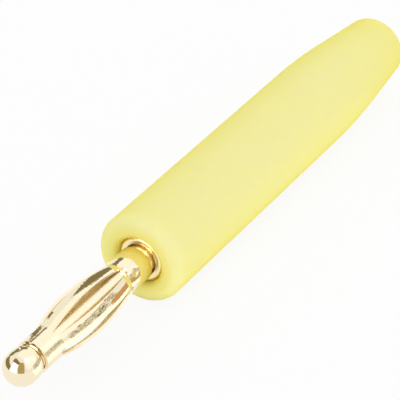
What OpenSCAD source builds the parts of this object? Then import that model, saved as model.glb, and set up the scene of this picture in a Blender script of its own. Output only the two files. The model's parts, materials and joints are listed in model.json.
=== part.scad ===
// Banana plug: a soft sleeve over a turned contact that carries a rolled spring basket.
// The plug lies along X with its ball tip towards +X. The origin is the centre of the sleeve's front face.

/* [Sleeve] */
// Outer diameter of the straight grip
sleeve_d = 8.3; // [7.8:0.1:9.6]
// Length of the sleeve from its front face to its tail
sleeve_l = 43.4; // [41:0.2:50]
// Radius of the front edge
front_round = 1.05; // [0.3:0.05:1.2]
// Distance from the front face to where the grip starts to narrow
taper_start = 29.6; // [26:0.2:31]
// Length of the curve between the straight grip and the conical tail
taper_blend = 6.5; // [3:0.5:8]
// Diameter of the tail's end, before its edge is rounded
tail_d = 6.2; // [5.8:0.1:7.2]
// Radius of the tail's outer edge
tail_round = 0.5; // [0.2:0.05:0.6]
// Diameter of the hole for the lead
lead_d = 3.6; // [2.6:0.1:3.8]
// Radius of the lead-in at the mouth of the barrel's bore
mouth_round = 0.5; // [0.2:0.05:0.6]
// Radius of the edge of the lead's hole at the tail
lead_round = 0.2; // [0.1:0.05:0.3]

/* [Contact] */
// Length of the contact in front of the sleeve
pin_l = 18.4; // [16.4:0.2:20]
// Diameter of the core pin inside the basket
core_d = 2.5; // [2.2:0.05:2.6]
// How far the core's root stops behind the bulge
root_back = 0.1; // [0.05:0.05:0.4]
// How much thicker the core's root is than the core, on the radius
root_step = 0.12; // [0.05:0.01:0.18]
// Diameter of the ball tip
ball_d = 3.1; // [2.95:0.05:3.4]
// Length of the straight band round the ball
ball_band = 0.35; // [0.1:0.05:0.6]
// Diameter of the barrel inside the sleeve
barrel_d = 4.3; // [4.1:0.05:4.6]
// Length of the barrel
barrel_l = 20; // [18:0.5:21]
// Depth of the barrel's front behind the sleeve's front face
barrel_set = 0.45; // [0.2:0.05:0.8]
// Radius of the barrel's front edge
barrel_round = 0.35; // [0.1:0.05:0.4]
// Depth of the countersink in the barrel's front, round the core's root
sink_depth = 0.45; // [0.2:0.05:0.6]
// Width of the flat land between the countersink and the rounded front edge
sink_land = 0.25; // [0.1:0.01:0.28]
// Chamfer of the barrel's rear edge
barrel_chamfer = 0.2; // [0.1:0.05:0.25]
// Number of grip grooves round the barrel
grooves = 3; // [1:1:4]
// Depth of a grip groove
groove_depth = 0.15; // [0.05:0.05:0.25]
// Width of a grip groove
groove_w = 0.8; // [0.4:0.1:1.2]
// Distance from one grip groove to the next
groove_pitch = 1.8; // [1.6:0.1:2]
// Distance from the barrel's front to the first grip groove
groove_start = 3; // [1:0.5:3]

/* [Solder cup] */
// Diameter of the bore for the wire
cup_d = 2.8; // [2.2:0.1:3.0]
// Depth of the bore
cup_l = 10; // [8.5:0.5:10.5]
// Length over which the cup's side is cut open
cup_open = 3.5; // [2:0.5:4]
// Height above the axis at which the side is cut off
cup_cut = 0.6; // [0.4:0.1:0.9]
// Angle of the cone that the drill leaves at the bottom of the bore
drill_point = 118; // [90:1:140]

/* [Spring basket] */
// Number of sprung strips
strips = 5; // [4:1:6]
// Width of the slits between the strips, where they leave the front collar
slit_w = 0.48; // [0.3:0.01:0.6]
// How far the slits run into the collars past the bulge
slit_over = 0.25; // [0.1:0.05:0.4]
// Thickness of the rolled sheet
sheet_t = 0.24; // [0.18:0.02:0.26]
// Diameter across the bulge, sprung open for a 4 mm socket
bulge_d = 4.34; // [4.2:0.02:4.6]
// Length of the front collar
front_collar = 2.3; // [1.8:0.1:2.6]
// Length of the rear collar
rear_collar = 3.0; // [2.4:0.1:3.4]
// Gap from the sleeve's front face to the basket's rear edge
basket_gap = 0.25; // [0.15:0.05:0.6]
// Gap from the basket's front edge to the back of the ball, into which the basket lengthens
tip_gap = 0.23; // [0.1:0.01:0.5]
// Turn of the first strip about the axis
basket_turn = 24; // [0:1:72]
// Width of the seam where the rolled edges meet
seam_w = 0.1; // [0.06:0.02:0.14]
// Which gap between strips the seam lines up with
seam_at = 2; // [0:1:3]
// Diameter of the staking dimple on the rear collar
dimple_d = 0.9; // [0.6:0.05:1.0]
// Depth of the staking dimple
dimple_depth = 0.1; // [0.04:0.02:0.12]
// Distance of the staking dimple behind the bulge
dimple_back = 0.95; // [0.9:0.05:1.4]
// Turn of the staking dimple about the axis
dimple_turn = 32; // [0:1:90]

/* [Fits] */
// Room round the barrel in the sleeve, on the radius
slide_gap = 0.03; // [0.02:0.005:0.05]
// Room between the barrel's end and the step in the sleeve
stop_gap = 0.05; // [0.02:0.01:0.1]
// Room between the basket's collars and the core, on the radius
collar_gap = 0.015; // [0.01:0.005:0.03]

/* [Hidden] */
$fn = 96;

PVC_YELLOW = [0.95, 0.90, 0.47];
GOLD_PLATE = [0.86, 0.72, 0.42];

sleeve_r = sleeve_d / 2;
tail_r = tail_d / 2;
lead_r = lead_d / 2;
core_r = core_d / 2;
root_r = core_r + root_step;
ball_r = ball_d / 2;
barrel_r = barrel_d / 2;
cup_r = cup_d / 2;
bulge_r = bulge_d / 2;
bore_r = barrel_r + slide_gap;

// The grip and the conical tail are tangents of one arc, so their corner lies half a blend past its start.
taper_corner = taper_start + taper_blend / 2;
tail_angle = atan((sleeve_r - tail_r) / (sleeve_l - taper_corner));
blend_r = taper_blend / 2 / tan(tail_angle / 2);
blend_end_r = sleeve_r - taper_blend / 2 * sin(tail_angle);
blend_end = taper_corner + taper_blend / 2 * cos(tail_angle);
tail_round_r = tail_r + tail_round * tan(tail_angle) - tail_round / cos(tail_angle);
tail_touch = sleeve_l - tail_round * (1 - sin(tail_angle));

barrel_end = barrel_set + barrel_l;
bore_end = barrel_end + stop_gap;

ball_z = pin_l - ball_r;
ball_back_z = ball_z - ball_band;
neck_z = ball_back_z - sqrt(ball_r * ball_r - core_r * core_r);
basket_front = neck_z - tip_gap;
bulge_front = basket_front - front_collar;
bulge_rear = basket_gap + rear_collar;
crest_z = (bulge_front + bulge_rear) / 2;
front_collar_r = core_r + collar_gap + sheet_t;
rear_collar_r = root_r + collar_gap + sheet_t;
bend_steps = 8;
root_end = bulge_rear - root_back;
pitch = 360 / strips;
strip_w = 2 * front_collar_r * sin(pitch / 2) - slit_w;
seam_turn = basket_turn + (seam_at + 0.5) * pitch;
dimple_r = (dimple_d * dimple_d / 4 + dimple_depth * dimple_depth) / (2 * dimple_depth);
dimple_z = bulge_rear - dimple_back;
// How far a cutter reaches past what it cuts
past = 1;

// Radius of an arc that is level at a strip's crest and falls by rise over run
function arc_r(run, rise) = (run * run + rise * rise) / (2 * rise);

// Point on half a strip's arc: share runs from 0 at the crest to 1 at a collar, and run may be negative
function bend_point(run, rise, share) =
    let (r = arc_r(run, rise), a = asin(run / r) * share)
    [bulge_r - r * (1 - cos(a)), crest_z + r * sin(a)];

// Lays a shape that was turned about Z along X, so that angles run from +Y towards +Z
module lay() {
    rotate([0, 90, 0]) rotate([0, 0, 90]) children();
}

// Cutter that rounds a hole of radius r at height 0 with a radius of edge, where the solid lies below
module mouth_cut(r, edge) {
    difference() {
        translate([0, -edge]) square([r + edge, edge + past]);
        translate([r + edge, -edge]) circle(edge);
    }
}

// Cutter that leaves a circle's arc as the edge of what it is taken from, within a box from a to b
module arc_cut(a, b, centre, r) {
    difference() {
        translate(a) square(b - a);
        translate(centre) circle(r);
    }
}

// Half section of the sleeve's outside, from the axis out
module sleeve_outline() {
    front_edge = [sleeve_r - front_round, -front_round];
    difference() {
        polygon([
            [0, 0],
            [sleeve_r, 0],
            [sleeve_r, -taper_corner],
            [tail_r, -sleeve_l],
            [0, -sleeve_l]
        ]);
        arc_cut(front_edge, [sleeve_r + past, past], front_edge, front_round);
        arc_cut([blend_end_r, -blend_end], [sleeve_r + past, -taper_start],
            [sleeve_r - blend_r, -taper_start], blend_r);
        arc_cut([tail_round_r, -sleeve_l - past], [tail_r + past, -tail_touch],
            [tail_round_r, tail_round - sleeve_l], tail_round);
    }
}

module insulating_sleeve() {
    color(PVC_YELLOW) lay() rotate_extrude() difference() {
        sleeve_outline();
        translate([0, -bore_end]) square([bore_r, bore_end + past]);
        translate([0, -sleeve_l - past]) square([lead_r, sleeve_l]);
        mouth_cut(bore_r, mouth_round);
        translate([0, -sleeve_l]) mirror([0, 1]) mouth_cut(lead_r, lead_round);
    }
}

// Half section of the turned contact, without its bore
module contact_outline() {
    barrel_edge = [barrel_r - barrel_round, -barrel_set - barrel_round];
    difference() {
        polygon([
            [0, -barrel_end],
            [barrel_r - barrel_chamfer, -barrel_end],
            [barrel_r, barrel_chamfer - barrel_end],
            [barrel_r, -barrel_set],
            [barrel_r - barrel_round - sink_land, -barrel_set],
            [root_r, -barrel_set - sink_depth],
            [root_r, root_end],
            [core_r, root_end],
            [core_r, neck_z],
            [ball_r, neck_z],
            [ball_r, pin_l],
            [0, pin_l]
        ]);
        arc_cut(barrel_edge, [barrel_r + past, past - barrel_set], barrel_edge, barrel_round);
        arc_cut([core_r, neck_z - past], [ball_r + past, ball_back_z], [0, ball_back_z], ball_r);
        arc_cut([0, ball_z], [ball_r + past, pin_l + past], [0, ball_z], ball_r);
        for (i = [0 : grooves - 1])
            translate([barrel_r - groove_depth, -barrel_set - groove_start - i * groove_pitch - groove_w])
                square([groove_depth + past, groove_w]);
    }
}

module contact_body() {
    color(GOLD_PLATE) lay() difference() {
        rotate_extrude() contact_outline();
        translate([0, 0, -barrel_end - past]) cylinder(r = cup_r, h = cup_l + past);
        translate([0, 0, cup_l - barrel_end])
            cylinder(r1 = cup_r, r2 = 0, h = cup_r / tan(drill_point / 2));
        translate([-barrel_r - past, cup_cut, -barrel_end - past])
            cube([2 * (barrel_r + past), barrel_r, cup_open + past]);
    }
}

// Half section of the rolled sheet: its outer face, and the same line moved in by the sheet's thickness
module sheet_section() {
    rear_run = bulge_rear - crest_z;
    front_run = bulge_front - crest_z;
    outer = [
        [rear_collar_r, basket_gap],
        for (i = [bend_steps : -1 : 1]) bend_point(rear_run, bulge_r - rear_collar_r, i / bend_steps),
        for (i = [0 : bend_steps]) bend_point(front_run, bulge_r - front_collar_r, i / bend_steps),
        [front_collar_r, basket_front]
    ];
    inner = [for (i = [len(outer) - 1 : -1 : 0]) outer[i] - [sheet_t, 0]];
    polygon(concat(outer, inner));
}

// The spaces between the strips: slots of one width, then wedges, since the strips keep their width
module slits() {
    half = slit_w / 2;
    apex = strip_w / 2 / sin(pitch / 2);
    flare = apex + half / tan(pitch / 2);
    reach = bulge_r + past;
    spread = (reach - apex) * tan(pitch / 2);
    for (i = [0 : strips - 1])
        rotate([0, 0, basket_turn + (i + 0.5) * pitch])
            translate([0, 0, bulge_rear - slit_over])
                linear_extrude(bulge_front - bulge_rear + 2 * slit_over)
                    polygon([
                        [core_r / 2, -half],
                        [flare, -half],
                        [reach, -spread],
                        [reach, spread],
                        [flare, half],
                        [core_r / 2, half]
                    ]);
}

module spring_basket() {
    color(GOLD_PLATE) lay() difference() {
        rotate_extrude() sheet_section();
        slits();
        rotate([0, 0, seam_turn]) translate([0, -seam_w / 2, 0]) cube([bulge_r + past, seam_w, pin_l]);
        rotate([0, 0, dimple_turn])
            translate([rear_collar_r + dimple_r - dimple_depth, 0, dimple_z])
                sphere(dimple_r);
    }
}

insulating_sleeve();
contact_body();
spring_basket();
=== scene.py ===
# %% [markdown]
# # A banana plug
# A plug for a 4 mm socket has three pieces: a soft yellow sleeve to hold it by, a turned and
# gold-plated contact with a ball tip, and a spring basket, rolled from thin sheet, that grips the
# socket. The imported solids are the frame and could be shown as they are. Here every surface is
# drawn again, finer and in the same place, because polished gold shows each flat facet of a mesh.

# %% Load the frame
import json
import math

import bmesh
import bpy
import numpy as np
from mathutils import Matrix, Vector

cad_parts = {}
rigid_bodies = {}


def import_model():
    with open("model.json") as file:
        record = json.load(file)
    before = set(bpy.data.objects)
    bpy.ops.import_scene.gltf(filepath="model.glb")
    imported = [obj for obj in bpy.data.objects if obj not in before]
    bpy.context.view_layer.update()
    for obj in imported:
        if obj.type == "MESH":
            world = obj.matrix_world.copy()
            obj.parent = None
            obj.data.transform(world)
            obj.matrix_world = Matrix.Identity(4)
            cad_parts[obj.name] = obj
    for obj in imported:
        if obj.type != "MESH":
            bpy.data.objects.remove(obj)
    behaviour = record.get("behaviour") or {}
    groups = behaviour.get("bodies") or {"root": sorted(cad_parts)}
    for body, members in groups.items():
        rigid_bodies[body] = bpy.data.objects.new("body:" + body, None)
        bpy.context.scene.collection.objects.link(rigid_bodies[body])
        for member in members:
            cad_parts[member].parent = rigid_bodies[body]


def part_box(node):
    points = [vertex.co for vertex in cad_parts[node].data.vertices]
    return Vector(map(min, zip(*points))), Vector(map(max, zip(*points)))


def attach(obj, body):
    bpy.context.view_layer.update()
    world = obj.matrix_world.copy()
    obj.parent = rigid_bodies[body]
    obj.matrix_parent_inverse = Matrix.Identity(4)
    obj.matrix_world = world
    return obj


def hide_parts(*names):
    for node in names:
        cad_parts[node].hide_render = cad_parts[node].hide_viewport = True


for left_over in list(bpy.data.objects):
    bpy.data.objects.remove(left_over)
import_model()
scene = bpy.context.scene
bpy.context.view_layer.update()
MM = 0.001

# %% [markdown]
# ## Sizes
# The outer sizes could be typed in again, but then the looks and the solids could drift apart.
# They are read from the solids instead. What a bounding box can't tell, such as a wall or a
# fillet, is a named value in the cell that first needs it. The plug lies along X with its tip
# towards +X. Angles run about X, from +Y to +Z.

# %% Sizes from the solids
sleeve_low, sleeve_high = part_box("insulating_sleeve")
contact_low, contact_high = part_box("contact_body")
basket_low, basket_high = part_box("spring_basket")
SLEEVE_R = sleeve_high.y
SLEEVE_L = sleeve_high.x - sleeve_low.x
BARREL_R = contact_high.y
BARREL_END = -contact_low.x
PIN_L = contact_high.x
BASKET_REAR = basket_low.x
BASKET_FRONT = basket_high.x
print(f"sleeve {2 * SLEEVE_R / MM:.2f} across, {SLEEVE_L / MM:.2f} long; pin {PIN_L / MM:.2f} long")
print(f"barrel {2 * BARREL_R / MM:.2f} across")
print(f"basket from {BASKET_REAR / MM:.2f} to {BASKET_FRONT / MM:.2f}")

# %% [markdown]
# ## Profiles
# Most of a plug is turned on a lathe or moulded round, so its shape is a profile carried about X.
# A profile could be drawn as a curve object, but a list of (x, radius) points is easier to measure
# and to reuse. Straight runs and arcs are enough for all of it.

# %% Profiles
SAME_POINT = 1e-4 * MM


def arc(centre, radius, start, end, steps):
    """Points centre + radius * (cos t, sin t), t from start to end in degrees, as (x, radius)."""
    t = np.radians(np.linspace(start, end, steps + 1))
    return np.stack([centre[0] + radius * np.cos(t), centre[1] + radius * np.sin(t)], axis=1)


def run(start, end, steps):
    """Points start * (1 - t) + end * t for t from 0 to 1: a straight line with both its ends."""
    t = np.linspace(0, 1, steps + 1)[:, None]
    return np.array(start) * (1 - t) + np.array(end) * t


def joined(*stretches):
    """The stretches one after another, without the points that repeat where two of them meet."""
    points = np.concatenate(stretches)
    apart = np.linalg.norm(np.diff(points, axis=0), axis=1) > SAME_POINT
    return points[np.concatenate([[True], apart])]


sample = joined(run((1, 0), (0, 0), 4), run((0, 0), (0, 1), 4))
print("two runs of 5 points each, joined at a corner:", len(sample), "points")

# %% [markdown]
# ## Sweeps
# The Spin tool or a Screw modifier could turn a profile. One outer product of the profile with the
# cosines and sines of the angles gives the same grid with no loop over its points, and the angles
# may then differ from row to row, which the milled end of the contact needs.

# %% Sweeps
def swept(profile, angles):
    """Grid of points (x, r cos a, r sin a): rows follow the profile, columns the angles a."""
    x, r = profile[:, :1], profile[:, 1:]
    return np.stack([x + 0 * angles, r * np.cos(angles), r * np.sin(angles)], axis=2)


def grid_quads(rows, columns, wrap_rows=False, wrap_columns=False):
    """Corner numbers of the quads between neighbouring grid points: the point itself, the next one
    in its row, the one below that, and the one below the first."""
    i = np.arange(rows if wrap_rows else rows - 1)[:, None]
    j = np.arange(columns if wrap_columns else columns - 1)[None, :]
    down, right = (i + 1) % rows, (j + 1) % columns
    corners = [i * columns + j, i * columns + right, down * columns + right, down * columns + j]
    return np.stack(np.broadcast_arrays(*corners), axis=-1)


print("a grid of 3 by 4 points has", grid_quads(3, 4).reshape(-1, 4).shape[0], "quads between them")

# %% [markdown]
# ## From a grid to a piece
# A grid closes on itself where two of its edges fall on the same points, as in a pole or a seam.
# Merging the doubles welds those places, and the normals are recalculated after that so that every
# face points outwards. Auto smooth could be a modifier, but marking the sharp edges by angle needs
# nothing live on the piece.

# %% Mesh piece
WELD_WITHIN = 1e-3 * MM
SLIVER = 1e-4 * MM
SHARP_ANGLE = 35


def mesh_piece(name, points, quads, body, node):
    """A piece from points and quads: welded, turned outwards, riding on body, standing for node."""
    mesh = bpy.data.meshes.new(name)
    mesh.from_pydata(points.reshape(-1, 3).tolist(), [], quads.reshape(-1, 4).tolist())
    shell = bmesh.new()
    shell.from_mesh(mesh)
    bmesh.ops.remove_doubles(shell, verts=shell.verts, dist=WELD_WITHIN)
    bmesh.ops.dissolve_degenerate(shell, edges=shell.edges, dist=SLIVER)
    bmesh.ops.recalc_face_normals(shell, faces=shell.faces)
    shell.to_mesh(mesh)
    shell.free()
    mesh.shade_smooth()
    mesh.set_sharp_from_angle(angle=math.radians(SHARP_ANGLE))
    piece = bpy.data.objects.new(name, mesh)
    scene.collection.objects.link(piece)
    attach(piece, body)
    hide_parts(node)
    print(f"{name}: {len(mesh.vertices)} points, {len(mesh.polygons)} faces, rides on {body}")
    return piece


print(f"welds within {WELD_WITHIN / MM:.3f} mm, sharp edges past {SHARP_ANGLE} degrees")

# %% [markdown]
# ## The sleeve
# The sleeve is one moulding in soft plastic. Its outside is a straight grip with a rounded front
# edge, a long arc into a conical tail, and a rounded tail edge. Inside, a bore takes the barrel, a
# step stops it, and a narrower hole lets the lead out. A cylinder with bevels would miss the long
# arc into the tail. The whole section is one closed loop here, holes too, so the sweep has no open
# edge.

# %% Sleeve section
FRONT_ROUND = 1.05 * MM
TAPER_START = 29.6 * MM
TAPER_BLEND = 6.5 * MM
TAIL_R = 3.1 * MM
TAIL_ROUND = 0.5 * MM
LEAD_R = 1.8 * MM
MOUTH_ROUND = 0.5 * MM
LEAD_ROUND = 0.2 * MM
SLIDE_GAP = 0.03 * MM
STOP_GAP = 0.05 * MM


def sleeve_section():
    """Closed loop of (x, radius): the outside from the mouth to the tail, then back through the
    holes. The arc into the tail is tangent to the grip and to the cone, so its radius is half the
    blend's length over the tangent of half the slope."""
    bore_r = BARREL_R + SLIDE_GAP
    bore_end = BARREL_END + STOP_GAP
    corner = TAPER_START + TAPER_BLEND / 2
    slope = math.atan2(SLEEVE_R - TAIL_R, SLEEVE_L - corner)
    blend_r = TAPER_BLEND / 2 / math.tan(slope / 2)
    lean = math.degrees(slope)
    tail_centre_r = TAIL_R + TAIL_ROUND * math.tan(slope) - TAIL_ROUND / math.cos(slope)
    outside = joined(
        arc((-MOUTH_ROUND, bore_r + MOUTH_ROUND), MOUTH_ROUND, -90, 0, steps=12),
        run((0, bore_r + MOUTH_ROUND), (0, SLEEVE_R - FRONT_ROUND), steps=8),
        arc((-FRONT_ROUND, SLEEVE_R - FRONT_ROUND), FRONT_ROUND, 0, 90, steps=16),
        run((-FRONT_ROUND, SLEEVE_R), (-TAPER_START, SLEEVE_R), steps=40),
        arc((-TAPER_START, SLEEVE_R - blend_r), blend_r, 90, 90 + lean, steps=16),
        arc((TAIL_ROUND - SLEEVE_L, tail_centre_r), TAIL_ROUND, 90 + lean, 180, steps=12),
        arc((LEAD_ROUND - SLEEVE_L, LEAD_R + LEAD_ROUND), LEAD_ROUND, 180, 270, steps=6),
    )
    inside = joined(
        run((LEAD_ROUND - SLEEVE_L, LEAD_R), (-bore_end, LEAD_R), steps=24),
        run((-bore_end, LEAD_R), (-bore_end, bore_r), steps=2),
        run((-bore_end, bore_r), (-MOUTH_ROUND, bore_r), steps=24),
    )
    return joined(outside, inside)[:-1]


section = sleeve_section()
print(f"sleeve section: {len(section)} points, least radius {section[:, 1].min() / MM:.2f} mm")

# %% Sleeve
SLEEVE_COLUMNS = 192
turn = np.linspace(0, 2 * math.pi, SLEEVE_COLUMNS, endpoint=False)
sleeve = mesh_piece(
    "sleeve_skin", swept(section, turn),
    grid_quads(len(section), SLEEVE_COLUMNS, wrap_rows=True, wrap_columns=True),
    body="sleeve", node="insulating_sleeve",
)

# %% [markdown]
# ## The contact
# The contact is turned from one brass bar: ball, core, a slightly thicker root, and the barrel
# with its grip grooves and a countersunk front. Its wire end is a drilled solder cup whose upper
# side is milled open. The turned shape could be a set of cylinders and a sphere, joined by
# booleans, but those leave ragged faces that show in polished gold. One profile gives clean rings
# of faces.

# %% Contact sizes
CORE_R = 1.25 * MM
ROOT_R = 1.37 * MM
ROOT_END = 3.15 * MM
BALL_R = 1.55 * MM
BALL_BAND = 0.35 * MM
BARREL_SET = 0.45 * MM
BARREL_ROUND = 0.35 * MM
BARREL_CHAMFER = 0.2 * MM
SINK_DEPTH = 0.45 * MM
SINK_LAND = 0.25 * MM
GROOVES = 3
GROOVE_START = 3 * MM
GROOVE_PITCH = 1.8 * MM
GROOVE_W = 0.8 * MM
GROOVE_DEPTH = 0.15 * MM
CUP_R = 1.4 * MM
CUP_L = 10 * MM
CUP_OPEN = 3.5 * MM
DRILL_POINT = 118
open_x = CUP_OPEN - BARREL_END
cup_floor_x = CUP_L - BARREL_END
print(f"the cup is {CUP_L / MM:.1f} mm deep and open over its last {CUP_OPEN / MM:.1f} mm")

# %% Contact from the tip to the milling
def grip_groove(index):
    """One groove cut into the barrel: a square dip in the profile, from front to rear."""
    front = -BARREL_SET - GROOVE_START - index * GROOVE_PITCH
    rear, floor = front - GROOVE_W, BARREL_R - GROOVE_DEPTH
    return joined(
        run((front, BARREL_R), (front, floor), steps=2),
        run((front, floor), (rear, floor), steps=4),
        run((rear, floor), (rear, BARREL_R), steps=2),
    )


def tip_to_barrel():
    """Profile from the ball's pole back to where the milling starts. The ball is two half arcs
    about centres a band apart, and ends where its radius has come down to the core's."""
    ball_x = PIN_L - BALL_R
    back_x = ball_x - BALL_BAND
    neck = math.asin(CORE_R / BALL_R)
    sink_x = -BARREL_SET - SINK_DEPTH
    flat_r = BARREL_R - BARREL_ROUND
    grooved_to = -BARREL_SET - GROOVE_START - GROOVES * GROOVE_PITCH
    return joined(
        arc((ball_x, 0), BALL_R, 0, 90, steps=28),
        arc((back_x, 0), BALL_R, 90, 180 - math.degrees(neck), steps=14),
        run((back_x - BALL_R * math.cos(neck), CORE_R), (ROOT_END, CORE_R), steps=40),
        run((ROOT_END, CORE_R), (ROOT_END, ROOT_R), steps=2),
        run((ROOT_END, ROOT_R), (sink_x, ROOT_R), steps=10),
        run((sink_x, ROOT_R), (-BARREL_SET, flat_r - SINK_LAND), steps=6),
        run((-BARREL_SET, flat_r - SINK_LAND), (-BARREL_SET, flat_r), steps=2),
        arc((-BARREL_SET - BARREL_ROUND, flat_r), BARREL_ROUND, 0, 90, steps=10),
        *[grip_groove(i) for i in range(GROOVES)],
        run((grooved_to, BARREL_R), (open_x, BARREL_R), steps=12),
    )


tip = tip_to_barrel()
print("the tip's profile has", len(tip), "points and", GROOVES, "grooves")

# %% Contact round the milling and in the cup
WALL_STEPS = 6
CHAMFER_STEPS = 2


def milled_wall():
    """Profile round the milled stretch: back along the barrel, over its end, in along the cup."""
    chamfer_x, chamfer_r = BARREL_CHAMFER - BARREL_END, BARREL_R - BARREL_CHAMFER
    return joined(
        run((open_x, BARREL_R), (chamfer_x, BARREL_R), steps=WALL_STEPS),
        run((chamfer_x, BARREL_R), (-BARREL_END, chamfer_r), steps=CHAMFER_STEPS),
        run((-BARREL_END, chamfer_r), (-BARREL_END, CUP_R), steps=4),
        run((-BARREL_END, CUP_R), (open_x, CUP_R), steps=WALL_STEPS + CHAMFER_STEPS),
    )


def cup_inside():
    """Profile of the rest of the cup: its straight wall, then the cone of the drill's point."""
    point_l = CUP_R / math.tan(math.radians(DRILL_POINT / 2))
    return joined(
        run((open_x, CUP_R), (cup_floor_x, CUP_R), steps=10),
        run((cup_floor_x, CUP_R), (cup_floor_x + point_l, 0), steps=6),
    )


wall, cup = milled_wall(), cup_inside()
print("the wall's profile has", len(wall), "points, the cup's", len(cup))

# %% [markdown]
# ## The milled side of the contact
# A cutter takes away the upper side of the cup, so that the wire can be laid in. A boolean could
# do that here too. Instead the columns of the sweep are shared out in two groups, those over the
# milled side and the rest. Over the milled stretch the first group is left out, and the edges of
# the second lie on the milling plane. The flats that the cutter leaves are rows of points laid
# between those edges.

# %% Milled columns
CUP_CUT = 0.6 * MM
MILLED_COLUMNS = 56
ROUND_COLUMNS = 88


def milled_angles(radii):
    """Columns of angles for each radius: the first group spans the milled side, the rest the round
    side. The milling plane z = CUP_CUT meets radius r at acos(CUP_CUT / r) on either side of +Z."""
    half = np.arccos(np.clip(CUP_CUT / np.maximum(radii, CUP_R), 0, 1))[:, None]
    over = np.linspace(-1, 1, MILLED_COLUMNS, endpoint=False)[None, :] * half
    rest = half + np.linspace(0, 1, ROUND_COLUMNS + 1)[None, :] * (2 * math.pi - 2 * half)
    return np.concatenate([over, rest], axis=1) + math.pi / 2


def milled_sweep(profile):
    """The profile swept about X with the shared columns, the last column repeating the first."""
    return swept(profile, milled_angles(profile[:, 1]))


def laid_across(outer, inner, share):
    """Rows of points outer + share * (inner - outer) between two lines of points."""
    return outer[None] + share[:, None, None] * (inner - outer)[None]


spread = np.ptp(milled_angles(np.array([BARREL_R]))[0, : MILLED_COLUMNS + 1])
print("the milling takes", round(math.degrees(spread)), "degrees off the barrel's outside")

# %% Contact
FLAT_ROWS = WALL_STEPS + CHAMFER_STEPS + 1
whole_wall = milled_sweep(wall)
end_face = whole_wall[FLAT_ROWS - 1 : 1 - FLAT_ROWS, -1]
share = np.abs(end_face[:, 1] - end_face[0, 1]) / np.ptp(end_face[:, 1])
grids = [milled_sweep(tip), whole_wall[:, MILLED_COLUMNS:], milled_sweep(cup)]
grids.append(laid_across(whole_wall[0], whole_wall[-1], share)[:, : MILLED_COLUMNS + 1])
grids += [
    laid_across(whole_wall[:FLAT_ROWS, edge], whole_wall[::-1][:FLAT_ROWS, edge], share)
    for edge in (MILLED_COLUMNS, -1)
]
points = np.concatenate([g.reshape(-1, 3) for g in grids])
starts = np.cumsum([0] + [g.shape[0] * g.shape[1] for g in grids[:-1]])
quads = np.concatenate([grid_quads(*g.shape[:2]).reshape(-1, 4) + s for g, s in zip(grids, starts)])
contact = mesh_piece(
    "contact_turned", points, quads,
    body="contact", node="contact_body",
)

# %% [markdown]
# ## The spring basket
# The basket starts as flat sheet with slots punched in it. It is rolled round the core, and the
# strips between the slots are bowed out, so that they give way in a socket and press on its wall.
# A tube with slots cut out by booleans would have strips that widen as they bulge. Sheet doesn't
# stretch, so each strip keeps its width here while its radius grows: the sine of half its angle is
# half its width divided by the local radius.

# %% Sheet sizes
STRIPS = 5
BULGE_R = 2.17 * MM
FRONT_COLLAR = 2.3 * MM
REAR_COLLAR = 3.0 * MM
FRONT_COLLAR_R = 1.505 * MM
REAR_COLLAR_R = 1.625 * MM
SLIT_W = 0.48 * MM
SLIT_OVER = 0.25 * MM
bulge_front = BASKET_FRONT - FRONT_COLLAR
bulge_rear = BASKET_REAR + REAR_COLLAR
crest = (bulge_front + bulge_rear) / 2
pitch = 2 * math.pi / STRIPS
strip_half_w = FRONT_COLLAR_R * math.sin(pitch / 2) - SLIT_W / 2
print(f"{STRIPS} strips, {2 * strip_half_w / MM:.2f} mm wide, with slits of {SLIT_W / MM:.2f} mm")

# %% Sheet form
REAR_ROWS = 34
END_ROWS = 8
STRIP_ROWS = 90
FRONT_ROWS = 24


def sheet_radius(x):
    """Outer radius of the sheet: level collars, and two arcs that meet level at the crest."""
    front = x > crest
    run_to = np.where(front, bulge_front - crest, crest - bulge_rear)
    rise = BULGE_R - np.where(front, FRONT_COLLAR_R, REAR_COLLAR_R)
    bend_r = (run_to**2 + rise**2) / (2 * rise)
    away = np.minimum(np.abs(x - crest), run_to)
    return BULGE_R - bend_r + np.sqrt(bend_r**2 - away**2)


def slit_opening(x):
    """0 in the collars and 1 along the slits, rising as a quarter circle at each rounded end."""
    inside = np.minimum(x - (bulge_rear - SLIT_OVER), (bulge_front + SLIT_OVER) - x)
    t = np.clip(inside / (SLIT_W / 2), 0, 1)
    return np.sqrt(1 - (1 - t) ** 2)


def sheet_rows():
    """Stations along X: close together round the ends of the slits, where the outline turns."""
    ends = SLIT_W / 2 * (1 - np.cos(np.linspace(0, math.pi / 2, END_ROWS)))
    rear_end, front_end = bulge_rear - SLIT_OVER, bulge_front + SLIT_OVER
    return np.concatenate([
        np.linspace(BASKET_REAR, rear_end, REAR_ROWS, endpoint=False),
        rear_end + ends[:-1],
        np.linspace(rear_end + SLIT_W / 2, front_end - SLIT_W / 2, STRIP_ROWS, endpoint=False),
        front_end - ends[::-1],
        np.linspace(front_end, BASKET_FRONT, FRONT_ROWS)[1:],
    ])


stations = sheet_rows()[:, None]
crest_d = 2 * sheet_radius(stations).max()
print(f"basket: {len(stations)} stations, {crest_d / MM:.2f} mm across its crest")

# %% [markdown]
# ## The strips
# Each strip is one patch from the rear edge to the front edge. In the collars neighbouring patches
# meet, and the welding closes the rings. Two marks of the making stay: a narrow seam where the
# edges of the rolled sheet come together, and a dimple in the rear collar, where a punch stakes
# the basket to the contact. They could be painted on as bump, but real edges and dents also change
# the outline and the shine.

# %% Spring basket
BASKET_TURN = math.radians(24)
SEAM_AT = 2
SEAM_W = 0.1 * MM
DIMPLE_D = 0.9 * MM
DIMPLE_DEPTH = 0.1 * MM
DIMPLE_TURN = math.radians(32)
DIMPLE_BACK = 0.95 * MM
STRIP_COLUMNS = 24


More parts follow.
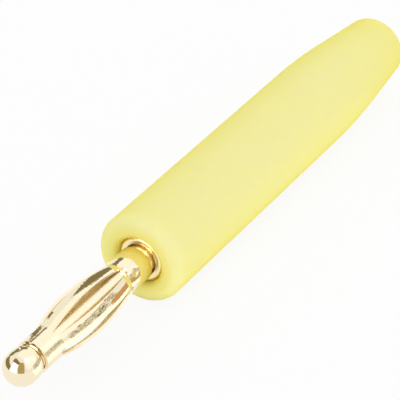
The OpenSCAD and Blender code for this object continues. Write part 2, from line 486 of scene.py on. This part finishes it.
def strip_patch(index):
    """One strip: its half angle is pitch / 2 in the collars and asin(half width / radius) along
    the slits, less half the seam where it lies on one. The dimple lowers the radius by its depth
    times the square of 1 - (distance / dimple radius)^2."""
    x, r = stations, sheet_radius(stations)
    across = np.linspace(-1, 1, STRIP_COLUMNS + 1)[None, :]
    half = pitch / 2 - slit_opening(x) * (pitch / 2 - np.arcsin(strip_half_w / r))
    seam = SEAM_W / 2 / r * (half >= pitch / 2)
    low = half - seam * (index == SEAM_AT + 1)
    high = half - seam * (index == SEAM_AT)
    a = BASKET_TURN + index * pitch + np.where(across < 0, low, high) * across
    from_dimple = np.hypot(x - (bulge_rear - DIMPLE_BACK), (a - DIMPLE_TURN) * r)
    dent = np.clip(1 - (from_dimple / (DIMPLE_D / 2)) ** 2, 0, 1) ** 2
    r = r - DIMPLE_DEPTH * dent
    return np.stack([x + 0 * a, r * np.cos(a), r * np.sin(a)], axis=2)


patches = np.stack([strip_patch(i) for i in range(STRIPS)])
rows, columns = patches.shape[1:3]
strip_starts = np.arange(STRIPS)[:, None, None, None] * rows * columns
basket = mesh_piece(
    "basket_rolled", patches, grid_quads(rows, columns)[None] + strip_starts,
    body="contact", node="spring_basket",
)

# %% [markdown]
# ## Thickness and edges of the sheet
# So far the basket is only the outer skin of the sheet. A second grid could make the inner skin
# and the rims. Solidify does that with less code and keeps the thickness even round the bends.
# Blanked sheet is tumbled until its edges are blunt, and a small bevel gives the thin bright line
# that such edges show.

# %% Sheet thickness
SHEET_T = 0.24 * MM
EDGE_BEVEL = 0.035 * MM
EDGE_ANGLE = math.radians(50)
thickness = basket.modifiers.new("sheet", "SOLIDIFY")
thickness.thickness = SHEET_T
thickness.offset = -1
thickness.use_even_offset = True
edges = basket.modifiers.new("tumbled_edges", "BEVEL")
edges.width = EDGE_BEVEL
edges.segments = 2
edges.limit_method = "ANGLE"
edges.angle_limit = EDGE_ANGLE
edges.harden_normals = True
print(f"sheet {thickness.thickness / MM:.2f} mm thick, edges blunted by {edges.width / MM:.3f} mm")

# %% [markdown]
# ## Finishes
# A finish is a Principled shader. A number that is the same all over is set on the shader's own
# socket. What varies, such as clouding, tool marks or grain, is noise on Object coordinates: they
# are metres from the plug's origin, so a pattern has a real size and stays put from every side. An
# image could do that too, but it would need a UV map and a file.

# %% Shader helpers
def new_finish(name):
    """A node material, its tree and its Principled shader."""
    finish = bpy.data.materials.new(name)
    finish.use_nodes = True
    return finish, finish.node_tree, finish.node_tree.nodes["Principled BSDF"]


def place_on(tree, stretch=(1, 1, 1)):
    """Object coordinates, each axis times its stretch."""
    place = tree.nodes.new("ShaderNodeTexCoord")
    mapping = tree.nodes.new("ShaderNodeMapping")
    mapping.inputs["Scale"].default_value = stretch
    tree.links.new(place.outputs["Object"], mapping.inputs["Vector"])
    return mapping.outputs["Vector"]


def noise_on(tree, scale, detail=3.0, stretch=(1, 1, 1)):
    """Noise of scale cells to the metre. A small stretch along an axis draws it out that way."""
    noise = tree.nodes.new("ShaderNodeTexNoise")
    noise.inputs["Scale"].default_value = scale
    noise.inputs["Detail"].default_value = detail
    tree.links.new(place_on(tree, stretch), noise.inputs["Vector"])
    return noise.outputs["Fac"]


def range_on(tree, value, low, high, start=0.0, end=1.0):
    """low where value is start or less, high where it is end or more, and in step between them."""
    stretch = tree.nodes.new("ShaderNodeMapRange")
    stretch.inputs["From Min"].default_value = start
    stretch.inputs["From Max"].default_value = end
    stretch.inputs["To Min"].default_value = low
    stretch.inputs["To Max"].default_value = high
    tree.links.new(value, stretch.inputs["Value"])
    return stretch.outputs["Result"]


print("shader helpers: a finish, its place, noise and ranges")

# %% Colour and relief helpers
def product_on(tree, one, other):
    """The product of two varying numbers."""
    times = tree.nodes.new("ShaderNodeMath")
    times.operation = "MULTIPLY"
    tree.links.new(one, times.inputs[0])
    tree.links.new(other, times.inputs[1])
    return times.outputs[0]


def ramp_on(tree, value, first, last, start=0.0, end=1.0):
    """The colour first up to start, last from end on, and a blend between them."""
    ramp = tree.nodes.new("ShaderNodeValToRGB")
    low, high = ramp.color_ramp.elements
    low.position, high.position = start, end
    low.color, high.color = (*first, 1), (*last, 1)
    tree.links.new(value, ramp.inputs["Fac"])
    return ramp.outputs["Color"]


def bump_on(tree, shader, height, strength, distance):
    """Relief from a height of 0 to 1, where 1 stands distance metres proud."""
    bump = tree.nodes.new("ShaderNodeBump")
    bump.inputs["Strength"].default_value = strength
    bump.inputs["Distance"].default_value = distance
    tree.links.new(height, bump.inputs["Height"])
    tree.links.new(bump.outputs["Normal"], shader.inputs["Normal"])


print("shader helpers: products, colour ramps and bump")

# %% [markdown]
# ## Soft yellow plastic
# The sleeve is plasticised vinyl: pale yellow, matt, and slightly see-through. Light goes in,
# spreads and comes out deeper in colour. Transmission with a volume could do this, slowly and with
# noise. Subsurface scattering gives the same softness, and a tinted coat deepens the colour where
# the skin is seen at a low angle. Nearer the axis the colour is painted deeper by the distance from
# X: painted shade and painted bounce light from the gold, round the bore and its mouth.

# %% Soft yellow plastic
PVC_PALE = (0.91, 0.885, 0.57)
PVC_DEEP = (0.91, 0.83, 0.29)
GLOW_R = 2.3 * MM
GLOW_END_R = 3.7 * MM
CLOUD_CELLS = 260
CLOUD_RANGE = (0.75, 1.0)
GRAIN_CELLS = 4200
GRAIN_HEIGHT = 0.02 * MM


def soft_plastic():
    """Painted shade and bounce light: deep at GLOW_R from the axis to pale at GLOW_END_R, times a
    cloud.
    """
    finish, tree, shader = new_finish("soft_yellow_plastic")
    from_axis = tree.nodes.new("ShaderNodeVectorMath")
    from_axis.operation = "LENGTH"
    tree.links.new(place_on(tree, stretch=(0, 1, 1)), from_axis.inputs[0])
    # painted shade and bounce light: the yellow deepens towards the bore by the distance from X
    painted_bore_glow = range_on(tree, from_axis.outputs["Value"], 0, 1, start=GLOW_R, end=GLOW_END_R)
    cloud = range_on(tree, noise_on(tree, CLOUD_CELLS), *CLOUD_RANGE)
    colour = ramp_on(tree, product_on(tree, painted_bore_glow, cloud), PVC_DEEP, PVC_PALE)
    tree.links.new(colour, shader.inputs["Base Color"])
    shader.inputs["Roughness"].default_value = 0.55
    shader.inputs["Specular IOR Level"].default_value = 0.3
    shader.inputs["Subsurface Weight"].default_value = 0.8
    shader.inputs["Subsurface Radius"].default_value = (1.0, 0.9, 0.3)
    shader.inputs["Subsurface Scale"].default_value = 1.4 * MM
    shader.inputs["Coat Weight"].default_value = 1.0
    shader.inputs["Coat Roughness"].default_value = 0.45
    shader.inputs["Coat IOR"].default_value = 1.02
    shader.inputs["Coat Tint"].default_value = (1.0, 0.985, 0.78, 1)
    grain = noise_on(tree, GRAIN_CELLS, detail=2.0)
    bump_on(tree, shader, grain, strength=0.12, distance=GRAIN_HEIGHT)
    return finish


sleeve.data.materials.append(soft_plastic())
print("sleeve finish:", sleeve.data.materials[0].name)

# %% [markdown]
# ## Gold plate
# Thin gold over brass is pale yellow and mirror bright where it is buffed, as on the ball and the
# outside of the basket. The buff can't reach the core behind the strips, the inside of the sheet
# or the barrel, so they stay satin or dull. Gold that faces gold looks warmer, and that warmth is
# painted into the colour behind the sleeve's front face and on the inside of the sheet: a painted
# reflection of gold in gold. One even metal could stand for all of it, but it would look too clean.
# Here roughness changes along X where the buff stops, fine marks run the way the piece was turned
# or rolled, and a slight ripple breaks up the reflections, as plating does.

# %% Gold plate
GOLD_LIGHT = (0.94, 0.84, 0.64)
# the warm end serves the random stain and the painted reflection of gold in gold
GOLD_STAIN_AND_PAINTED_WARMTH = (0.99, 0.84, 0.49)
POLISH = 0.06
SATIN = 0.3
DULL = 0.5
BUFF_EDGE = 0.2 * MM
STAIN_CELLS = 420
STAIN_RANGE = (0.7, 1.0)
MARKS_CELLS = 5200
MARKS_RANGE = (0.8, 1.2)
RIPPLE_CELLS = 3800
RIPPLE_HEIGHT = 0.03 * MM


def front_of(tree, x):
    """From 0 to 1 over the last BUFF_EDGE before x, along the plug."""
    along = tree.nodes.new("ShaderNodeSeparateXYZ")
    tree.links.new(place_on(tree), along.inputs["Vector"])
    return range_on(tree, along.outputs["X"], 0, 1, start=x - BUFF_EDGE, end=x)


def gold_plate(name, marks_stretch, ripple, unbuffed, polish_from, pale_from):
    """Gold that is polished in front of polish_from and as rough as unbuffed behind it, and pale
    in front of pale_from and painted warm behind it, as a painted reflection of gold in gold. The
    marks follow marks_stretch, and ripple is how far the waviness of the surface moves the
    reflections."""
    finish, tree, shader = new_finish(name)
    stain = range_on(tree, noise_on(tree, STAIN_CELLS), *STAIN_RANGE)
    paleness = product_on(tree, front_of(tree, pale_from), stain)
    colour = ramp_on(tree, paleness, GOLD_STAIN_AND_PAINTED_WARMTH, GOLD_LIGHT)
    tree.links.new(colour, shader.inputs["Base Color"])
    shader.inputs["Metallic"].default_value = 1.0
    buffed = range_on(tree, front_of(tree, polish_from), unbuffed, POLISH)
    drawn_out = noise_on(tree, MARKS_CELLS, detail=2.0, stretch=marks_stretch)
    marks = range_on(tree, drawn_out, *MARKS_RANGE)
    tree.links.new(product_on(tree, buffed, marks), shader.inputs["Roughness"])
    waves = noise_on(tree, RIPPLE_CELLS, detail=1.0)
    bump_on(tree, shader, waves, strength=ripple, distance=RIPPLE_HEIGHT)
    return finish


print("gold roughness:", POLISH, "where buffed,", SATIN, "where turned,", DULL, "inside the sheet")

# %% [markdown]
# ## Three golds
# The contact carries lathe marks, which run round it, so its noise is drawn out across the axis.
# The basket carries the marks of rolled sheet, which run along it. The inner face of the sheet
# gets a finish of its own: the faces that Solidify adds take the next material slot.

# %% Gold on the pieces
TURNED_MARKS = (1, 0.12, 0.12)
ROLLED_MARKS = (0.15, 1, 1)
# behind the sleeve's front face the contact is painted warm: a painted reflection of gold in gold
contact.data.materials.append(gold_plate(
    "turned_gold", TURNED_MARKS, ripple=0.1, unbuffed=SATIN,
    polish_from=BASKET_FRONT, pale_from=0,
))
basket.data.materials.append(gold_plate(
    "rolled_gold", ROLLED_MARKS, ripple=0.25, unbuffed=SATIN,
    polish_from=BASKET_REAR, pale_from=BASKET_REAR,
))
# the inside of the sheet is painted warm all over: a painted reflection of the core in the sheet
basket.data.materials.append(gold_plate(
    "inner_gold", ROLLED_MARKS, ripple=0.4, unbuffed=DULL,
    polish_from=PIN_L, pale_from=PIN_L,
))
thickness.material_offset = 1
print("gold finishes:", [m.name for piece in (contact, basket) for m in piece.data.materials])

# %% [markdown]
# ## The floor
# The plug lies on a white table. Strong lamps could make a matt floor white, but they would bleach
# the yellow. Instead the floor is mostly self-lit for rays that come from the camera or off metal,
# and only a plain matt white for rays that carry light. The matt part that the camera still sees
# keeps the plug's shadow.

# %% A number by the kind of ray
def by_ray(tree, light, mirror, camera):
    """A number that is light for rays that carry light, mirror for rays off metal or through
    glass, and camera for rays straight from the camera."""
    path = tree.nodes.new("ShaderNodeLightPath")
    reflected = tree.nodes.new("ShaderNodeMath")
    reflected.operation = "MAXIMUM"
    tree.links.new(path.outputs["Is Glossy Ray"], reflected.inputs[0])
    tree.links.new(path.outputs["Is Transmission Ray"], reflected.inputs[1])
    seen = tree.nodes.new("ShaderNodeMapRange")
    seen.inputs["To Max"].default_value = camera
    tree.links.new(path.outputs["Is Camera Ray"], seen.inputs["Value"])
    tree.links.new(range_on(tree, reflected.outputs[0], light, mirror), seen.inputs["To Min"])
    return seen.outputs["Result"]


print("rays are told apart as light, mirror and camera")

# %% White floor
FLOOR_Z = -SLEEVE_R
FLOOR_HALF = 1.2
FLOOR_WHITE = (0.94, 0.94, 0.94, 1)
FLOOR_IN_MIRRORS = 0.85
FLOOR_TO_CAMERA = 0.88
SQUARE = np.array([(-1, -1), (1, -1), (1, 1), (-1, 1)])


def white_floor():
    """A square under the sleeve, in matt white mixed with its own glow by the kind of ray."""
    corners = SQUARE * FLOOR_HALF
    mesh = bpy.data.meshes.new("floor")
    mesh.from_pydata([(x, y, FLOOR_Z) for x, y in corners.tolist()], [], [(0, 1, 2, 3)])
    floor = bpy.data.objects.new("floor", mesh)
    scene.collection.objects.link(floor)
    finish, tree, shader = new_finish("white_floor")
    shader.inputs["Base Color"].default_value = FLOOR_WHITE
    shader.inputs["Roughness"].default_value = 0.9
    shader.inputs["Specular IOR Level"].default_value = 0.0
    glow = tree.nodes.new("ShaderNodeEmission")
    mix = tree.nodes.new("ShaderNodeMixShader")
    tree.links.new(by_ray(tree, 0, FLOOR_IN_MIRRORS, FLOOR_TO_CAMERA), mix.inputs["Fac"])
    tree.links.new(shader.outputs[0], mix.inputs[1])
    tree.links.new(glow.outputs[0], mix.inputs[2])
    tree.links.new(mix.outputs[0], tree.nodes["Material Output"].inputs["Surface"])
    mesh.materials.append(finish)
    return floor


table = white_floor()
print(f"{table.name} at {table.data.vertices[0].co.z / MM:.2f} mm")

# %% [markdown]
# ## The light
# A small bright object is photographed in a light tent, where white comes from everywhere. The
# world does most of that here. A panorama of a real studio could bring it, but a plain white world
# gives the same even light, and its level can differ for light, for mirrors and for the camera.

# %% World
WORLD_LIGHT = 0.86
WORLD_IN_MIRRORS = 0.95


def studio_world():
    """White where the camera or a mirror looks at it, and WORLD_LIGHT as a source of light."""
    world = bpy.data.worlds.new("studio")
    world.use_nodes = True
    tree = world.node_tree
    tree.nodes["Background"].inputs["Color"].default_value = (1, 1, 1, 1)
    strength = by_ray(tree, WORLD_LIGHT, WORLD_IN_MIRRORS, 1.0)
    tree.links.new(strength, tree.nodes["Background"].inputs["Strength"])
    scene.world = world


studio_world()
print("world:", scene.world.name, "lights at", WORLD_LIGHT)

# %% [markdown]
# ## The lamps
# Light from everywhere has no direction, so a few soft panels add one: behind and above, in front,
# at the right, and two on the table, in place of white cards, that lift the underside and the
# face. A small one close by puts a spark on the ring of the barrel. Sun or point lamps could give
# direction too, but they would leave hard spots on the gold. Gold needs a brighter streak than the
# plastic can take without bleaching, so some panels are kept off matt surfaces and some off metal.

# %% Lamp helpers
BOX_DISTANCE = 0.4
FILL_LIFT = 0.1 * MM


def away_towards(azimuth, elevation):
    """Unit vector (cos a cos e, sin a cos e, sin e), in degrees, from +X towards +Y and up."""
    a, e = math.radians(azimuth), math.radians(elevation)
    return Vector((math.cos(a) * math.cos(e), math.sin(a) * math.cos(e), math.sin(e)))


def lit_panel(name, width, height, level, on_matt=True, on_metal=True):
    """An area lamp of power level * pi * area, so that level is how bright it looks in a mirror.
    It may be kept off matt surfaces or off metal."""
    lamp = bpy.data.lights.new(name, "AREA")
    lamp.shape = "RECTANGLE"
    lamp.size, lamp.size_y = width, height
    lamp.energy = level * math.pi * width * height
    panel = bpy.data.objects.new(name, lamp)
    panel.visible_camera = False
    panel.visible_diffuse = on_matt
    panel.visible_glossy = on_metal
    scene.collection.objects.link(panel)
    print(f"{name}: {lamp.energy:.3f} W")
    return panel


def soft_box(name, azimuth, elevation, width, height, level, distance=BOX_DISTANCE, **reach):
    """A panel at distance from the plug's origin, facing it. reach goes on to lit_panel."""
    away = away_towards(azimuth, elevation)
    box = lit_panel(name, width, height, level, **reach)
    box.location = away * distance
    box.rotation_euler = (-away).to_track_quat("-Z", "Y").to_euler()


def floor_fill(name, rear, front, near, far, level, **reach):
    """A panel on the floor that shines up, from rear to front along X and from near to far along
    Y. reach goes on to lit_panel."""
    panel = lit_panel(name, front - rear, far - near, level, **reach)
    panel.location = ((rear + front) / 2, (near + far) / 2, FLOOR_Z + FILL_LIFT)
    panel.rotation_euler = (math.pi, 0, 0)


print(f"panels stand {BOX_DISTANCE} m away, fills lie {FILL_LIFT / MM:.1f} mm above the floor")

# %% Lamps
IN_FRONT = {"azimuth": -12, "elevation": 26, "width": 0.25, "height": 0.36}
soft_box("back_top_light", azimuth=170, elevation=55, width=0.55, height=0.52, level=0.14)
soft_box("front_streak", **IN_FRONT, level=1.7, on_matt=False)
soft_box("front_light", **IN_FRONT, level=0.6, on_metal=False)
soft_box("right_light", azimuth=105, elevation=42, width=0.46, height=0.40, level=0.16)
soft_box("ring_light", azimuth=26, elevation=36, width=5 * MM, height=5 * MM, level=17,
         distance=20 * MM, on_matt=False)
floor_fill("floor_fill", rear=-45 * MM, front=14 * MM, near=5 * MM, far=60 * MM, level=0.24)
floor_fill("face_fill", rear=1 * MM, front=9 * MM, near=-6 * MM, far=6 * MM, level=0.35,
           on_metal=False)

# %% [markdown]
# ## Cards for the gold to reflect
# In a white tent polished gold has nothing to show but white. A photographer holds dark cards
# round it, and the bands they leave in the reflections draw its form. Darker patches could be
# painted on the metal, but they would stay put as the plug turns, which reflections don't. The
# cards belong to the studio: only mirrors see them, so they take no light from the sleeve. The
# mottled one stands for the unevenness of a real room. The amber one, low at the right, is a
# painted shadow of the sleeve on the floor, yellow from the sleeve, that only the gold shows.

# %% Card finishes
DARK_TONE = (0.24, 0.20, 0.10)
PALE_TONE = (0.95, 0.92, 0.85)
BRONZE_TONE = (0.46, 0.36, 0.17)
PAINTED_SHADOW_TONE = (0.62, 0.36, 0.16)
MOTTLE_CELLS = 670
MOTTLE_EDGE = (0.44, 0.56)


def card_finish(name, tone):
    """A card that gives off its tone and reflects nothing."""
    finish, tree, shader = new_finish(name)
    shader.inputs["Base Color"].default_value = (0, 0, 0, 1)
    shader.inputs["Specular IOR Level"].default_value = 0
    shader.inputs["Emission Color"].default_value = (*tone, 1)
    shader.inputs["Emission Strength"].default_value = 1
    return finish


dark_card = card_finish("dark_card", DARK_TONE)
bronze_card = card_finish("bronze_card", BRONZE_TONE)
# painted shadow: the amber tone stands for the floor in the sleeve's shadow
painted_shadow_card = card_finish("painted_shadow_card", PAINTED_SHADOW_TONE)
mottled_card = card_finish("mottled_card", DARK_TONE)
mottled_tree = mottled_card.node_tree
mottle = noise_on(mottled_tree, MOTTLE_CELLS)
mottling = ramp_on(mottled_tree, mottle, DARK_TONE, PALE_TONE, *MOTTLE_EDGE)
mottled_tree.links.new(mottling, mottled_tree.nodes["Principled BSDF"].inputs["Emission Color"])
print("cards:", [card.name for card in (dark_card, bronze_card, painted_shadow_card, mottled_card)])

# %% Cards
FLAG_DISTANCE = 0.5


def flag(name, card, azimuth, elevation, width, height, distance=FLAG_DISTANCE, about_x=0):
    """A card that only mirrors see, at distance from the point about_x on the axis. Its corners
    are its centre plus or minus half its width and height along the two directions square to the
    line of sight."""
    away = np.array(away_towards(azimuth, elevation))
    side = np.array([-math.sin(math.radians(azimuth)), math.cos(math.radians(azimuth)), 0])
    high = np.cross(away, side)
    centre = np.array([about_x, 0, 0]) + away * distance
    ends = SQUARE / 2
    corners = centre + ends[:, :1] * width * side + ends[:, 1:] * height * high
    mesh = bpy.data.meshes.new(name)
    mesh.from_pydata(corners.tolist(), [], [(0, 1, 2, 3)])
    mesh.materials.append(card)
    piece = bpy.data.objects.new(name, mesh)
    piece.visible_camera = False
    piece.visible_diffuse = False
    piece.visible_shadow = False
    scene.collection.objects.link(piece)
    print(f"{name}: {width / MM:.1f} x {height / MM:.1f} mm, {distance / MM:.1f} mm away")


flag("camera_side_flag", bronze_card, azimuth=33, elevation=33, width=0.36, height=0.62)
flag("left_flag", dark_card, azimuth=-69, elevation=8, width=0.60, height=0.34)
flag("over_flag", dark_card, azimuth=-26, elevation=60, width=0.39, height=0.20)
flag("back_left_flag", dark_card, azimuth=-145.3, elevation=20, width=0.172, height=0.287)
# painted shadow: an amber sheet where the sleeve's shadow falls on the floor, seen only in the gold
flag("painted_floor_shadow", painted_shadow_card, azimuth=143, elevation=-8, width=9 * MM, height=6 * MM,
     distance=15 * MM, about_x=4 * MM)
flag("right_flag", mottled_card, azimuth=122, elevation=5.2, width=24 * MM, height=13.6 * MM,
     distance=30 * MM, about_x=9 * MM)
flag("collar_flag", dark_card, azimuth=-132, elevation=10, width=1.1 * MM, height=7 * MM,
     distance=10.5 * MM, about_x=14.8 * MM)
flag("tip_flag", dark_card, azimuth=-116, elevation=28, width=5.4 * MM, height=4.5 * MM,
     distance=10 * MM, about_x=PIN_L - BALL_R)

# %% [markdown]
# ## The camera
# The plug is seen from above and in front of its tip, through a long lens. The view could be set
# by eye. Instead the place of the front face's centre, the focal length and the distance were
# fitted to the outlines in the photograph, in pixels of a 400 x 400 image, so the plug lands on
# the same pixels. The camera is moved sideways to frame it, not turned, which keeps the fit. Its
# azimuth is counted from -Y, a quarter turn before +X.

# %% Camera
IMAGE_PX = 400
SENSOR_MM = 36
FOCAL_PX = 2152.5
FACE_PX = (137.2, 262.3)
FACE_DISTANCE = 43.73 * SLEEVE_R
AZIMUTH = 121.33
ELEVATION = 33.48
QUARTER_TURN = 90
CLIP_START = 10 * MM

back = away_towards(AZIMUTH - QUARTER_TURN, ELEVATION)
right = Vector((0, 0, 1)).cross(back).normalized()
up = back.cross(right)
across = (FACE_PX[0] - IMAGE_PX / 2) / FOCAL_PX * FACE_DISTANCE
down = (FACE_PX[1] - IMAGE_PX / 2) / FOCAL_PX * FACE_DISTANCE
lens = bpy.data.cameras.new("camera")
lens.sensor_width = SENSOR_MM
lens.lens = FOCAL_PX / IMAGE_PX * SENSOR_MM
lens.clip_start = CLIP_START
camera = bpy.data.objects.new("camera", lens)
camera.location = back * FACE_DISTANCE - right * across + up * down
camera.rotation_euler = Matrix((right, up, back)).transposed().to_euler()
scene.collection.objects.link(camera)
scene.camera = camera
scene.view_settings.view_transform = "Standard"
print("camera at mm", [round(v / MM, 1) for v in camera.location], "lens", round(lens.lens, 1))
